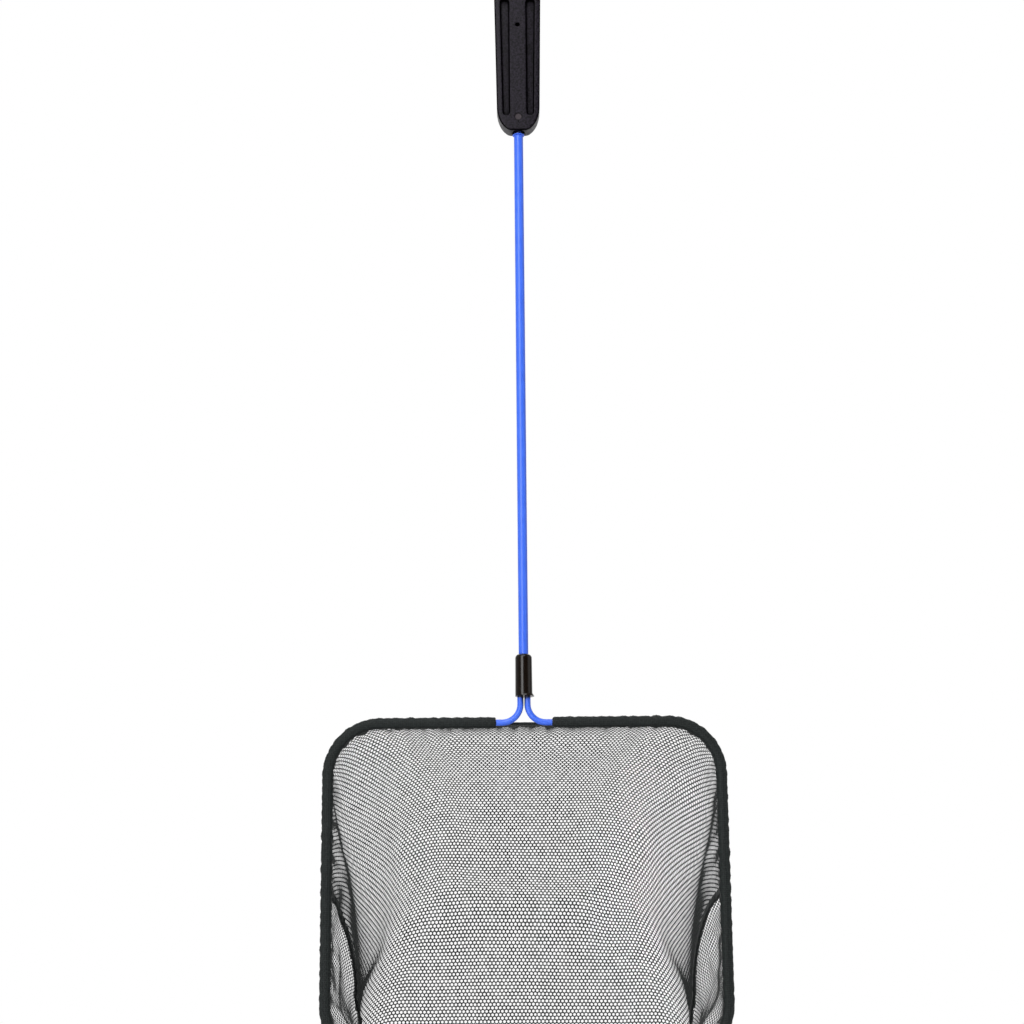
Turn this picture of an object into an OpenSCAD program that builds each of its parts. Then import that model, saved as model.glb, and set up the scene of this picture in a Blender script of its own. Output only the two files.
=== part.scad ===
// Aquarium fish net: a moulded grip on a coated rod, a collar, and a wire loop that carries a netting bag.
// The origin is the centre of the hanging hole in the grip, +Z is up and the mouth of the net faces -Y.

/* [Grip] */
// Length of the moulded grip from its upper end to its lower end
grip_length = 71; // [60:1:100]
// Width of the grip at the hanging hole
grip_upper_width = 19.4; // [18:0.1:24]
// Width of the grip where its lower end starts to narrow
grip_lower_width = 17.6; // [16:0.1:22]
// Thickness of the grip from front to back
grip_thickness = 7; // [6.6:0.1:9]
// Radius that rounds the long edges of the grip
grip_edge_radius = 0.7; // [0.5:0.1:1.5]
// Length over which the lower end of the grip narrows
grip_lower_end_length = 11.5; // [8:0.1:16]
// Length over which the upper end of the grip narrows
grip_upper_end_length = 9.5; // [7:0.5:12]
// Width of the flat face at each end of the grip
grip_end_flat_width = 7.2; // [6.6:0.1:9]
// How full the ends of the grip are: 2 gives a cut-off ellipse, and more gives squarer shoulders
grip_end_fullness = 2.3; // [2:0.1:3]
// Diameter of the hanging hole
hang_hole_diameter = 5; // [4:0.1:6]
// Distance from the upper end of the grip to the centre of the hanging hole
hang_hole_inset = 6.5; // [5.5:0.1:8]
// Chamfer at both rims of the hanging hole
hang_hole_chamfer = 0.4; // [0.1:0.1:0.6]

/* [Grip recesses] */
// Depth of the long grooves in the front and back faces
groove_depth = 1.4; // [0.6:0.1:1.5]
// How far each side of a groove leans in at its floor
groove_floor_inset = 0.5; // [0:0.05:0.7]
// Width of the land between the two grooves of a face
groove_land_width = 6.6; // [6:0.1:8]
// Width of the rim outside each groove
groove_rim_width = 2.25; // [1.6:0.05:3]
// Radius of the rounded groove ends
groove_end_radius = 1.5; // [0.8:0.1:1.5]
// Distance from the hanging hole's centre to the upper end of the grooves
groove_start = 6; // [5.5:0.5:12]
// Distance from the lower end of the grip to the lower end of the grooves
groove_end_inset = 6.3; // [5:0.1:10]
// Diameter of the moulding pin hole in the front land
pin_hole_diameter = 1.9; // [1:0.1:2.4]
// Depth of the moulding pin hole
pin_hole_depth = 1.3; // [0.5:0.1:1.4]
// Distance from the hanging hole's centre down to the moulding pin hole
pin_hole_drop = 17.6; // [14:0.1:24]
// Diameter of the round moulding mark in the front land
mould_mark_diameter = 2.9; // [1.5:0.1:4]
// Depth of the round moulding mark
mould_mark_depth = 0.2; // [0.1:0.05:0.4]
// Distance from the lower end of the grip up to the round moulding mark
mould_mark_inset = 5.8; // [4.5:0.1:9]
// Diameter of the wider mouth where the rod enters the grip
socket_mouth_diameter = 5.2; // [4.8:0.1:5.6]
// Depth of the wider mouth
socket_mouth_depth = 1.5; // [0.5:0.1:2]

/* [Rod] */
// Length of rod that shows between the grip and the collar
rod_visible_length = 216.5; // [120:0.1:320]
// Diameter of the steel rod inside its coating
rod_core_diameter = 2.6; // [2:0.1:2.8]
// Diameter over the rod's coating
rod_diameter = 3.7; // [3.4:0.1:4]
// Diameter of the flared ring of coating just below the grip
rod_flare_diameter = 4.9; // [4.4:0.1:5.6]
// Length of the flared ring
rod_flare_length = 0.5; // [0.4:0.1:2]
// Distance from the grip's lower end down to the flared ring
rod_flare_drop = 0.9; // [0.5:0.1:2]
// Length of rod held inside the grip
rod_seat_length = 52; // [30:1:53]

/* [Collar] */
// Length of the collar that joins the rod to the wire loop
collar_length = 16.2; // [14:0.1:30]
// Diameter of the collar below its rounded top
collar_upper_diameter = 6.4; // [6.2:0.1:8]
// Diameter of the collar just above its foot
collar_lower_diameter = 6.6; // [6.3:0.1:8]
// Diameter of the lip that flares out on one side of the collar's foot
collar_lip_diameter = 7.3; // [6.9:0.1:8.5]
// Height over which the lip flares out
collar_lip_height = 1.6; // [0.5:0.1:3]
// Diameter of the collar's top where the rounding ends
collar_top_diameter = 4.2; // [4.1:0.1:5.6]
// Height of the rounded top of the collar
collar_top_height = 1.3; // [0.8:0.1:3]
// How full the collar's top is: 1 gives a cone, and 2 gives a quarter of an ellipse
collar_top_fullness = 1.7; // [1:0.1:2]
// Depth of the rod's socket in the collar
collar_rod_socket = 7.5; // [5:0.1:8]
// Depth of the two wire sockets in the collar
collar_wire_socket = 6.5; // [4:0.1:7]

/* [Wire loop] */
// Width of the wire loop over its coating
loop_width = 152; // [100:1:260]
// Height of the wire loop over its coating
loop_height = 127; // [90:1:220]
// Radius of the loop's corners at the wire's centre line
loop_corner_radius = 20; // [12:1:30]
// Diameter of the steel wire inside its coating
wire_core_diameter = 1.8; // [1.2:0.1:2]
// Diameter over the wire's coating
wire_diameter = 2.4; // [2.2:0.1:2.4]
// Gap between the two wire legs in the collar
leg_gap = 0.3; // [0.2:0.1:0.5]
// Straight length of each wire leg below the collar
leg_drop = 3; // [2:0.5:12]
// Radius of the bend from each leg into the top bar, at the wire's centre line
leg_bend_radius = 7; // [4:0.5:12]

/* [Hem band] */
// Thickness of one layer of the hem cloth
hem_cloth_thickness = 0.6; // [0.4:0.1:1]
// Depth of the hem band behind the wire loop
hem_depth = 12; // [8:0.5:20]
// Bare wire between the end of each leg's bend and the place where the hem first wraps it
hem_setback = 2.5; // [0.5:0.5:10]

/* [Netting bag] */
// How far the bag's fold stands behind the hem band
bag_reach = 84; // [50:1:110]
// How far the bag's fold hangs below the bottom bar
bag_drop = 16; // [6:1:40]
// Thickness of the netting panels
panel_thickness = 0.8; // [0.6:0.1:1.2]
// Count of openings across each netting panel
openings_across_count = 12; // [6:1:12]
// Count of openings in the upper panel from the hem to the fold
upper_openings_deep_count = 8; // [4:1:9]
// Count of openings in the lower panel from the hem to the fold
lower_openings_deep_count = 5; // [3:1:6]
// Width of netting left between two openings at the bag's mouth
netting_bar_width = 4; // [3:0.5:6]
// Width of the seam tape along each side of the bag
seam_tape_width = 3; // [2:0.5:4]
// Thickness of the seam tape
seam_tape_thickness = 1.4; // [1:0.1:2]
// Height of the closed end of the bag
bag_end_height = 5.2; // [4.8:0.1:8]
// Length of the flat seam that closes the bag
end_seam_length = 5; // [3:0.5:9]
// Thickness of the flat seam at its free edge
end_seam_edge = 1.6; // [1:0.1:3]
// How much each lower corner of the bag is rounded in
bag_corner_inset = 12; // [6:1:20]

/* [Hidden] */

// Smoothness of round shapes and of lofted shapes
round_fn = 64;
hull_fn = 32;
corner_steps = 5;
end_steps = 12;
bag_steps = 30;
opening_across_steps = 2;
opening_deep_steps = 3;

// Clearances and the overrun that all cuts share
coat_gap = 0.02;
socket_gap = 0.05;
cloth_gap = 0.3;
overrun = 1;

// Shares that shape the bag's side profile: across the reach, then down the drop from the top bar
upper_profile_shares = [[0, 0], [0.55, 0], [1.16, 0.36], [1, 1]];
// The same for the lower profile: across the reach, then down the drop from the bottom bar
lower_profile_shares = [[0, 0], [0.3, 0.9], [0.7, 1.4], [1, 1]];
// How much narrower the bag is at its fold, and where its lower corners start to round in
bag_narrowing_share = 0.07;
bag_corner_start_share = 0.82;
// Share of the bag's depth at which its sections have turned from rounded corners to full rounds
bag_rounding_share = 0.8;
// Slope of the closing seam below the horizontal
end_seam_slope = 38;

// Heights on the grip, measured from the hanging hole
grip_top = hang_hole_inset;
grip_foot = grip_top - grip_length;
grip_lower_start = grip_foot + grip_lower_end_length;
grip_upper_start = grip_top - grip_upper_end_length;
groove_top = -groove_start;
groove_foot = grip_foot + groove_end_inset;

// Heights along the handle
rod_top = grip_foot + rod_seat_length;
collar_top = grip_foot - rod_visible_length;
collar_foot = collar_top - collar_length;
rod_foot = collar_top - collar_rod_socket + socket_gap;

// Places on the wire loop, at the wire's centre line
leg_x = wire_diameter / 2 + leg_gap / 2;
loop_half_width = loop_width / 2 - wire_diameter / 2;
bar_top = collar_foot - leg_drop - leg_bend_radius;
bar_foot = bar_top - loop_height + wire_diameter;
leg_top = collar_foot + collar_wire_socket - socket_gap;

// The hem's tube round the wire, and the bag's mouth behind the hem
hem_inner_radius = wire_diameter / 2 + cloth_gap;
hem_outer_radius = hem_inner_radius + hem_cloth_thickness;
hem_start = leg_x + leg_bend_radius + hem_setback;
bag_mouth = hem_depth + cloth_gap;
panel_edge = seam_tape_width / 2 + cloth_gap;

// What is left of a full width at a ratio of the way to the tip of a rounded end
function rounded_share(ratio) = pow(1 - pow(ratio, grip_end_fullness), 1 / grip_end_fullness);

// Half width of one end of the grip: a rounded end cut off at the flat end face
function end_half_width(full_width, end_length, distance) =
    let (semi_axis = end_length / rounded_share(grip_end_flat_width / full_width))
    full_width / 2 * rounded_share(distance / semi_axis);

// Width of the grip's straight sides, extended in line past both ends
function straight_width(z) =
    grip_upper_width + (grip_lower_width - grip_upper_width) * z / grip_lower_start;

// Half width of the grip at a height
function grip_half_width(z) =
    z < grip_lower_start
        ? end_half_width(grip_lower_width, grip_lower_end_length, grip_lower_start - z)
    : z > grip_upper_start
        ? end_half_width(straight_width(grip_upper_start), grip_upper_end_length, z - grip_upper_start)
    : straight_width(z) / 2;

// How far a rounded edge draws in at a distance from the end face
function edge_inset(distance) =
    distance >= grip_edge_radius ? 0
    : grip_edge_radius - sqrt(pow(grip_edge_radius, 2) - pow(grip_edge_radius - distance, 2));

// One corner of a rounded rectangle, as points from start_angle through 90 degrees
function corner_points(half_x, half_y, radius, start_angle, steps) =
    let (side_x = cos(start_angle + 45) > 0 ? 1 : -1)
    let (side_y = sin(start_angle + 45) > 0 ? 1 : -1)
    [for (i = [0 : steps])
        let (angle = start_angle + 90 * i / steps)
        [
            side_x * (half_x - radius) + radius * cos(angle),
            side_y * (half_y - radius) + radius * sin(angle)
        ]];

function rounded_rectangle(half_x, half_y, radius, steps) =
    [for (start_angle = [0 : 90 : 270]) each corner_points(half_x, half_y, radius, start_angle, steps)];

// A point on a cubic curve with four control points
function curve_point(points, t) =
    pow(1 - t, 3) * points[0] + 3 * t * pow(1 - t, 2) * points[1]
    + 3 * t * t * (1 - t) * points[2] + pow(t, 3) * points[3];

// The triangles between neighbouring rings, each ring with the same count of points
function ring_walls(count, last) =
    [for (j = [0 : last - 1], i = [0 : count - 1])
        let (next = (i + 1) % count)
        each [
            [j * count + i, j * count + next, (j + 1) * count + next],
            [j * count + i, (j + 1) * count + next, (j + 1) * count + i]
        ]];

// A closed solid through rings whose outlines are convex
module loft(rings) {
    count = len(rings[0]);
    last = len(rings) - 1;
    points = [for (ring = rings) each ring];
    first_cap = [for (i = [1 : count - 2]) [0, i + 1, i]];
    last_cap = [for (i = [1 : count - 2]) [last * count, last * count + i, last * count + i + 1]];
    polyhedron(points = points, faces = concat(ring_walls(count, last), first_cap, last_cap));
}

// Heights at which the grip's loft has a ring, from its lower end up
function grip_heights() = concat(
    [for (i = [0 : corner_steps]) grip_foot + grip_edge_radius * (1 - cos(90 * i / corner_steps))],
    [for (i = [1 : end_steps])
        grip_foot + grip_edge_radius + (grip_lower_end_length - grip_edge_radius) * i / end_steps],
    [for (i = [0 : end_steps - 1])
        grip_upper_start + (grip_upper_end_length - grip_edge_radius) * i / end_steps],
    [for (i = [corner_steps : -1 : 0]) grip_top - grip_edge_radius * (1 - cos(90 * i / corner_steps))]
);

function grip_ring(z) =
    let (inset = edge_inset(min(z - grip_foot, grip_top - z)))
    [for (p = rounded_rectangle(
            grip_half_width(z) - inset, grip_thickness / 2 - inset, grip_edge_radius, corner_steps))
        [p[0], p[1], z]];

// One corner post of a groove, wider at the face than at the floor
module groove_post(x, z) {
    translate([x, 0, z])
        rotate([-90, 0, 0])
            cylinder(h = groove_depth + overrun, r1 = groove_end_radius - groove_floor_inset,
                r2 = groove_end_radius + groove_floor_inset * overrun / groove_depth, $fn = hull_fn);
}

// A long groove on the right of a face, its outer side parallel to the grip's edge
module groove() {
    inner_x = groove_land_width / 2 + groove_end_radius;
    translate([0, grip_thickness / 2 - groove_depth, 0])
        hull() {
            for (z = [groove_top - groove_end_radius, groove_foot + groove_end_radius]) {
                outer_x = straight_width(z) / 2 - groove_rim_width - groove_end_radius;
                groove_post(inner_x, z);
                groove_post(outer_x, z);
            }
        }
}

// A hole through the grip from front to back, chamfered at both rims
module hang_hole() {
    radius = hang_hole_diameter / 2;
    rotate([90, 0, 0])
        rotate_extrude($fn = round_fn)
            polygon([
                [0, -grip_thickness / 2 - overrun],
                [radius + hang_hole_chamfer + overrun, -grip_thickness / 2 - overrun],
                [radius, -grip_thickness / 2 + hang_hole_chamfer],
                [radius, grip_thickness / 2 - hang_hole_chamfer],
                [radius + hang_hole_chamfer + overrun, grip_thickness / 2 + overrun],
                [0, grip_thickness / 2 + overrun]
            ]);
}

// The socket that holds the rod, with a wider mouth that narrows to the rod's size
module rod_socket() {
    radius = rod_diameter / 2 + socket_gap;
    mouth_radius = socket_mouth_diameter / 2;
    rotate_extrude($fn = round_fn)
        polygon([
            [0, grip_foot - overrun],
            [mouth_radius, grip_foot - overrun],
            [mouth_radius, grip_foot + socket_mouth_depth / 2],
            [radius, grip_foot + socket_mouth_depth],
            [radius, rod_top + socket_gap],
            [0, rod_top + socket_gap]
        ]);
}

// A round recess in the front face of the grip
module front_recess(diameter, depth, z) {
    translate([0, -grip_thickness / 2 + depth, z])
        rotate([90, 0, 0])
            cylinder(h = depth + overrun, d = diameter, $fn = round_fn);
}

module grip() {
    color("#2d2c30")
        difference() {
            loft([for (z = grip_heights()) grip_ring(z)]);
            for (face = [0, 1], side = [0, 1]) {
                mirror([0, face, 0]) mirror([side, 0, 0]) groove();
            }
            hang_hole();
            rod_socket();
            front_recess(pin_hole_diameter, pin_hole_depth, -pin_hole_drop);
            front_recess(mould_mark_diameter, mould_mark_depth, grip_foot + mould_mark_inset);
        }
}

module rod_core() {
    color("#b9bcc0")
        translate([0, 0, rod_foot])
            cylinder(h = rod_top - rod_foot, d = rod_core_diameter, $fn = round_fn);
}

// The coating is a sleeve, flared out like a small cup where it was pushed up towards the grip
module rod_coating() {
    bore = rod_core_diameter / 2 + coat_gap;
    radius = rod_diameter / 2;
    lip = (rod_flare_diameter / 2 - radius) / 2;
    flare_top = grip_foot - rod_flare_drop;
    lip_points = [for (i = [0 : corner_steps])
        let (angle = 90 * i / corner_steps)
        [rod_flare_diameter / 2 - lip * (1 - cos(angle)), flare_top - lip * (1 - sin(angle))]];
    ring_points = concat([[radius, flare_top - rod_flare_length]], lip_points, [[radius, flare_top]]);
    color("#4c78f0")
        rotate_extrude($fn = round_fn)
            polygon(concat(
                [[bore, rod_foot], [radius, rod_foot]],
                ring_points,
                [[radius, rod_top], [bore, rod_top]]
            ));
}

module collar() {
    upper = collar_upper_diameter / 2;
    lower = collar_lower_diameter / 2;
    lip_shift = (collar_lip_diameter - collar_lower_diameter) / 2 + coat_gap;
    crown = collar_top_diameter / 2;
    crown_points = [for (i = [0 : corner_steps])
        let (angle = 90 * i / corner_steps)
        let (x_share = pow(cos(angle), 2 / collar_top_fullness))
        let (z_share = pow(sin(angle), 2 / collar_top_fullness))
        [crown + (upper - crown) * x_share, collar_top - collar_top_height * (1 - z_share)]];
    outline = concat(
        [[0, collar_foot], [lower, collar_foot]],
        crown_points,
        [[0, collar_top]]
    );
    color("#1a1a1c")
        difference() {
            union() {
                rotate_extrude($fn = round_fn)
                    polygon(outline);
                translate([lip_shift, 0, collar_foot])
                    cylinder(h = collar_lip_height, d1 = collar_lip_diameter,
                        d2 = collar_lip_diameter - 5 * lip_shift, $fn = round_fn);
            }
            translate([0, 0, collar_top - collar_rod_socket])
                cylinder(h = collar_rod_socket + overrun, d = rod_diameter + 2 * socket_gap, $fn = round_fn);
            for (side = [-1, 1]) {
                translate([side * leg_x, 0, collar_foot - overrun])
                    cylinder(h = collar_wire_socket + overrun, d = wire_diameter + 2 * socket_gap,
                        $fn = round_fn);
            }
        }
}

// A straight run in the plane of the loop: it starts at [x, z] and heads along the angle
module straight_run(x, z, angle, length) {
    translate([x, 0, z])
        rotate([0, -angle, 0])
            rotate([0, 90, 0])
                linear_extrude(height = length)
                    children();
}

// A bend in the plane of the loop, from the low angle to the high angle round [x, z]
module bend(x, z, radius, low_angle, high_angle) {
    translate([x, 0, z])
        rotate([-90, 0, 0])
            rotate([0, 0, -high_angle])
                rotate_extrude(angle = high_angle - low_angle, $fn = round_fn)
                    translate([radius, 0])
                        children();
}

// The loop's sides, bottom bar and corners, with the top bar from start_x outwards on both sides
module loop_path(start_x) {
    corner_x = loop_half_width - loop_corner_radius;
    upper_corner = bar_top - loop_corner_radius;
    lower_corner = bar_foot + loop_corner_radius;
    for (side = [0, 1]) {
        mirror([side, 0, 0]) {
            straight_run(start_x, bar_top, 0, corner_x - start_x) children();
            bend(corner_x, upper_corner, loop_corner_radius, 0, 90) children();
            straight_run(loop_half_width, lower_corner, 90, upper_corner - lower_corner) children();
            bend(corner_x, lower_corner, loop_corner_radius, -90, 0) children();
        }
    }
    straight_run(-corner_x, bar_foot, 0, 2 * corner_x) children();
}

// The bent wire: two legs side by side in the collar, then the loop
module bent_wire() {
    bend_top = bar_top + leg_bend_radius;
    for (side = [0, 1]) {
        mirror([side, 0, 0]) {
            straight_run(leg_x, bend_top, 90, leg_top - bend_top) children();
            bend(leg_x + leg_bend_radius, bend_top, leg_bend_radius, 180, 270) children();
        }
    }
    loop_path(leg_x + leg_bend_radius) children();
}

module frame_core() {
    color("#b9bcc0")
        bent_wire()
            circle(d = wire_core_diameter, $fn = round_fn);
}

module frame_coating() {
    color("#4c78f0")
        bent_wire()
            difference() {
                circle(d = wire_diameter, $fn = round_fn);
                circle(d = wire_core_diameter + 2 * coat_gap, $fn = round_fn);
            }
}

// The hem's section: a tube round the wire, and a flat band of two layers behind it
module hem_tube_section() {
    difference() {
        union() {
            circle(r = hem_outer_radius, $fn = round_fn);
            translate([-hem_cloth_thickness, 0])
                square([2 * hem_cloth_thickness, hem_depth]);
        }
        circle(r = hem_inner_radius, $fn = round_fn);
    }
}

module hem_band_section() {
    translate([-hem_cloth_thickness, hem_outer_radius])
        square([2 * hem_cloth_thickness, hem_depth - hem_outer_radius]);
}

module hem_band() {
    color("#262b2c") {
        loop_path(hem_start)
            hem_tube_section();
        straight_run(-hem_start, bar_top, 0, 2 * hem_start)
            hem_band_section();
    }
}

// The bag's fold: where its upper and lower panels meet
fold_y = bag_mouth + bag_reach;
fold_z = bar_foot - bag_drop;
seam_across = [cos(end_seam_slope), -sin(end_seam_slope)];
seam_up = [sin(end_seam_slope), cos(end_seam_slope)];

// Control points of the two side profiles, as [y, z]
function profile_points(shares, mouth_z, end_point) =
    [for (i = [0 : 3])
        i == 3 ? end_point
        : [bag_mouth + shares[i][0] * bag_reach, mouth_z + shares[i][1] * (fold_z - mouth_z)]];

fold_upper = [fold_y, fold_z] + seam_up * bag_end_height / 2;
fold_lower = [fold_y, fold_z] - seam_up * bag_end_height / 2;
upper_profile = profile_points(upper_profile_shares, bar_top, fold_upper);
lower_profile = profile_points(lower_profile_shares, bar_foot, fold_lower);

// Half width of the bag at a share of its depth, with its lower corners rounded in
function bag_half_width(v) =
    let (past = max(0, (v - bag_corner_start_share) / (1 - bag_corner_start_share)))
    loop_half_width * (1 - bag_narrowing_share * v) - bag_corner_inset * (1 - sqrt(1 - past * past));

// One section of the bag at a share of its depth: centre, up direction, half height and corner radius
function bag_section(v) =
    let (upper = curve_point(upper_profile, v))
    let (lower = curve_point(lower_profile, v))
    let (half_height = norm(upper - lower) / 2)
    let (rounding = sin(90 * min(1, v / bag_rounding_share)))
    let (corner_radius = loop_corner_radius * (1 - rounding) + (half_height - panel_edge) * rounding)
    [(upper + lower) / 2, (upper - lower) / norm(upper - lower), half_height, corner_radius];

// A point of the section, from its place across and up the section plane
function section_point(section, x, up) =
    [x, section[0][0] + section[1][0] * up, section[0][1] + section[1][1] * up];

// Girth from the middle of a panel to the middle of a side
function half_girth(v) =
    let (section = bag_section(v))
    bag_half_width(v) + section[2] - (2 - PI / 2) * section[3];

// A point on one skin of a panel: the upper panel for side 1, the lower for side -1
function panel_point(side, across, v, grow) =
    let (section = bag_section(v), radius = section[3], arc = radius * PI / 2)
    let (flat = bag_half_width(v) - radius, reach = abs(across) * (half_girth(v) - panel_edge))
    let (turn = 90 * min(max(reach - flat, 0), arc) / arc)
    let (x = min(reach, flat) + (radius + grow) * sin(turn))
    let (up = section[2] - radius + (radius + grow) * cos(turn) - max(reach - flat - arc, 0))
    section_point(section, sign(across) * x, side * up);

// Pairs of the length run along a side profile and the share of the bag's depth reached there
function profile_lengths(points) =
    [for (i = 0, run = 0; i <= bag_steps;
        run = run + norm(curve_point(points, (i + 1) / bag_steps) - curve_point(points, i / bag_steps)),
        i = i + 1)
        [run, i / bag_steps]];

// Shares at which the netting's bars start and end, with steps between for each opening
function bar_lines(count, bar, steps) =
    let (pitch = (1 - bar) / count)
    [for (i = [0 : count], k = [0 : (i < count ? steps : 1)])
        i * pitch + (k == 0 ? 0 : bar + (pitch - bar) * (k - 1) / steps)];

// Whether a cell among the lines is netting, and not part of an opening or past an edge
function is_netting(i, j, columns, rows) =
    i >= 0 && j >= 0 && i < columns - 1 && j < rows - 1
    && (i % (opening_across_steps + 1) == 0 || j % (opening_deep_steps + 1) == 0);

// The triangles of one cell: both skins, and a wall on each side that has no neighbour
function cell_faces(i, j, columns, rows) =
    let (outer = [j * columns + i, j * columns + i + 1, (j + 1) * columns + i + 1, (j + 1) * columns + i])
    let (inner = [for (corner = outer) corner + rows * columns])
    let (neighbours = [[i, j - 1], [i + 1, j], [i, j + 1], [i - 1, j]])
    concat(
        [[outer[0], outer[1], outer[2]], [outer[0], outer[2], outer[3]]],
        [[inner[0], inner[2], inner[1]], [inner[0], inner[3], inner[2]]],
        [for (k = [0 : 3])
            let (next = (k + 1) % 4)
            if (!is_netting(neighbours[k][0], neighbours[k][1], columns, rows))
                each [[outer[next], outer[k], inner[k]], [outer[next], inner[k], inner[next]]]]
    );

// A bent sheet with rows of openings, from the bag's mouth to its fold
module panel(side) {
    lengths = profile_lengths(side > 0 ? upper_profile : lower_profile);
    total = lengths[bag_steps][0];
    opening_rows = side > 0 ? upper_openings_deep_count : lower_openings_deep_count;
    mouth_girth = 2 * (half_girth(0) - panel_edge);
    across_lines = bar_lines(openings_across_count, netting_bar_width / mouth_girth, opening_across_steps);
    deep_lines = bar_lines(opening_rows, netting_bar_width / total, opening_deep_steps);
    columns = len(across_lines);
    rows = len(deep_lines);
    points = [for (skin = [1, -1], deep = deep_lines, across = across_lines)
        let (v = lookup(deep * total, lengths))
        panel_point(side, side * (1 - 2 * across), v, skin * panel_thickness / 2)];
    faces = [for (j = [0 : rows - 2], i = [0 : columns - 2])
        if (is_netting(i, j, columns, rows)) each cell_faces(i, j, columns, rows)];
    polyhedron(points = points, faces = faces);
}

module net_upper_panel() {
    color("#3c4448")
        panel(1);
}

module net_lower_panel() {
    color("#3c4448")
        panel(-1);
}

// The seam tape down the right side of the bag, between the edges of the two panels
module seam_tape() {
    half = seam_tape_width / 2;
    loft([for (i = [0 : bag_steps])
        let (v = i / bag_steps, section = bag_section(v))
        let (outer = bag_half_width(v) + seam_tape_thickness / 2, inner = outer - seam_tape_thickness)
        [
            section_point(section, outer, -half),
            section_point(section, outer, half),
            section_point(section, inner, half),
            section_point(section, inner, -half)
        ]]);
}

module side_seam_left() {
    color("#262b2c")
        mirror([1, 0, 0]) seam_tape();
}

module side_seam_right() {
    color("#262b2c")
        seam_tape();
}

// A ring of the flat seam, at a distance past the fold
function end_seam_ring(distance, half_x, half_height) =
    let (centre = [fold_y, fold_z] + seam_across * distance)
    [for (p = rounded_rectangle(half_x, half_height, half_height - cloth_gap, corner_steps))
        [p[0], centre[0] + seam_up[0] * p[1], centre[1] + seam_up[1] * p[1]]];

// The flat seam that closes the bag, a little clear of the panels' ends
module end_seam() {
    half_x = bag_half_width(1) + panel_thickness / 2;
    color("#262b2c")
        loft([
            end_seam_ring(cloth_gap, half_x, (bag_end_height + panel_thickness) / 2),
            end_seam_ring(end_seam_length / 2, half_x, end_seam_edge / 2),
            end_seam_ring(end_seam_length, half_x, end_seam_edge / 2)
        ]);
}

grip();
rod_core();
rod_coating();
collar();
frame_core();
frame_coating();
hem_band();
net_upper_panel();
net_lower_panel();
side_seam_left();
side_seam_right();
end_seam();
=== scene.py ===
# %% [markdown]
# # An aquarium fish net
# A small hand net: a moulded grip, a coated steel rod, a collar, and a wire loop with a bag of netting.
# Its solids come from CAD as a fixed frame. Blender adds what CAD leaves plain: the finishes of the
# plastics, and all that is cloth, from the hem down to the single threads of the net.
#
# All sizes are in metres. MM turns the millimetres of the drawing into metres.

# %% Load the solids
import math

import bpy
import numpy as np
from mathutils import Matrix, Vector


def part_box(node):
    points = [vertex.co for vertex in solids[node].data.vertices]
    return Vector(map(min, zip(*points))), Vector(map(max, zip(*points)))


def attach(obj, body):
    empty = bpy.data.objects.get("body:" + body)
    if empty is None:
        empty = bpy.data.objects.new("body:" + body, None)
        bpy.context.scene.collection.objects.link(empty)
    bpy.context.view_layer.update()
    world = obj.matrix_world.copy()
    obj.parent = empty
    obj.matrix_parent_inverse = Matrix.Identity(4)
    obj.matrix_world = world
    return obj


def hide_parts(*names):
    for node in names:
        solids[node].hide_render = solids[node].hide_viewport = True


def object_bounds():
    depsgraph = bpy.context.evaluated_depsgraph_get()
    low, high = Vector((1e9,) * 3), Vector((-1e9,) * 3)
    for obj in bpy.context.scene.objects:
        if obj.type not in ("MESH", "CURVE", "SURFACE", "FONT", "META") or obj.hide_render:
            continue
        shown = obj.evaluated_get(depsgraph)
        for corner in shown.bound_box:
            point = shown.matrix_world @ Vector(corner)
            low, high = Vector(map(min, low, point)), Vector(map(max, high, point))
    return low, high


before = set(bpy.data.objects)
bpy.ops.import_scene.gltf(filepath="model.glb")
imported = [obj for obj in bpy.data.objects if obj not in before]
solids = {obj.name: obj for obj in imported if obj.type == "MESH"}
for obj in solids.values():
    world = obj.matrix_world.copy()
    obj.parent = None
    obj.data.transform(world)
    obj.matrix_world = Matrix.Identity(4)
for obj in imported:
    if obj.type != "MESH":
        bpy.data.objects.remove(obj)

MM = 0.001
scene = bpy.context.scene
cad_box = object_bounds()
print("solids:", sorted(solids))
print("size in mm:", [round(side / MM, 1) for side in cad_box[1] - cad_box[0]])

# %% [markdown]
# ## The camera
# The picture was taken from a little below the net, with a lens about twice as long as the film is wide.
# A camera could be moved by eye until the picture fits. Here its place, tilt and lens were worked out
# from the rod, whose two ends differ slightly in width, and from the length of the handle, because no
# shape looks right from a wrong place. `picture_place` repeats the camera's sum for one point, so that
# the match can be read as numbers.

# %% Place the camera
PICTURE_SIZE = 1024
FOCAL_PIXELS = 2000
FILM_WIDTH = 36
CAMERA_PLACE = Vector((-3.96, -762, -407.4)) * MM
LOOKS_UP_DEGREES = 13.5
LEANS_DEGREES = -0.485


def in_scene(name, data):
    """An object made of some data, put into the scene."""
    made = bpy.data.objects.new(name, data)
    scene.collection.objects.link(made)
    return made


camera_data = bpy.data.cameras.new("camera")
camera_data.sensor_width = FILM_WIDTH
camera_data.lens = FILM_WIDTH * FOCAL_PIXELS / PICTURE_SIZE
camera = in_scene("camera", camera_data)
scene.camera = camera
camera.matrix_world = (Matrix.Translation(CAMERA_PLACE)
                       @ Matrix.Rotation(math.radians(90 + LOOKS_UP_DEGREES), 4, "X")
                       @ Matrix.Rotation(math.radians(LEANS_DEGREES), 4, "Z"))


def picture_place(point):
    """Where a point shows in the picture, in pixels from its upper left corner."""
    seen = camera.matrix_world.inverted() @ Vector(point)
    across, down = seen.x / -seen.z, seen.y / seen.z
    return [round(PICTURE_SIZE / 2 + FOCAL_PIXELS * share, 1) for share in (across, down)]


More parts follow.
